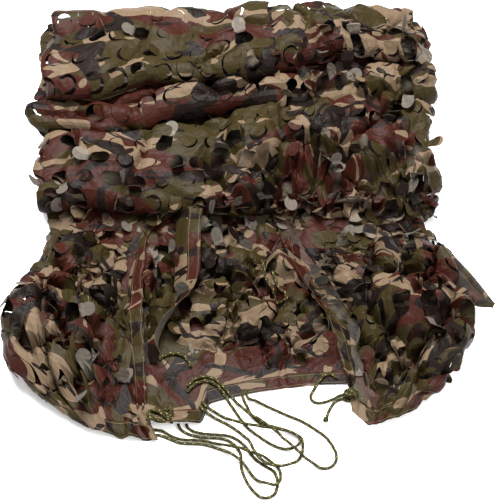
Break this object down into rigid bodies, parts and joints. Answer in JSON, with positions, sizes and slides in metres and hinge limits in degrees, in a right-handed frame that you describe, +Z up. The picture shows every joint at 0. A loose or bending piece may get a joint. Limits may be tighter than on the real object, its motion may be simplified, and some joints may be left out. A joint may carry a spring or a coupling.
{
  "type": "camouflage net",
  "caption": "Camouflage net of printed die-cut cloth, its sides turned in and its length folded back and forth, with braided draw-cords at the front hem.",
  "frame": {"origin": "middle of the net's own box, on the surface that it lies on; the free cords are left out of that box", "axes": "+Z up, +X across the net, -Y toward the front hem and the cords, +Y toward the back of the folded stack"},
  "size_m": [0.6325, 0.7191, 0.1325],
  "materials": {
    "net_cloth": "thin printed polyester with a slight sheen, woodland pattern",
    "draw_cord": "braided olive polyester"
  },
  "bodies": {
    "root": {"net_cloth": "net_cloth", "cord_lower_loop": "draw_cord", "cord_left_loop": "draw_cord", "cord_hem_loop": "draw_cord", "cord_arch_loop": "draw_cord", "cord_outer_loop": "draw_cord", "cord_top_arch": "draw_cord", "cord_corner_tie": "draw_cord", "cord_corner_tail": "draw_cord", "cord_tail_knot": "draw_cord"}
  },
  "joints": []
}
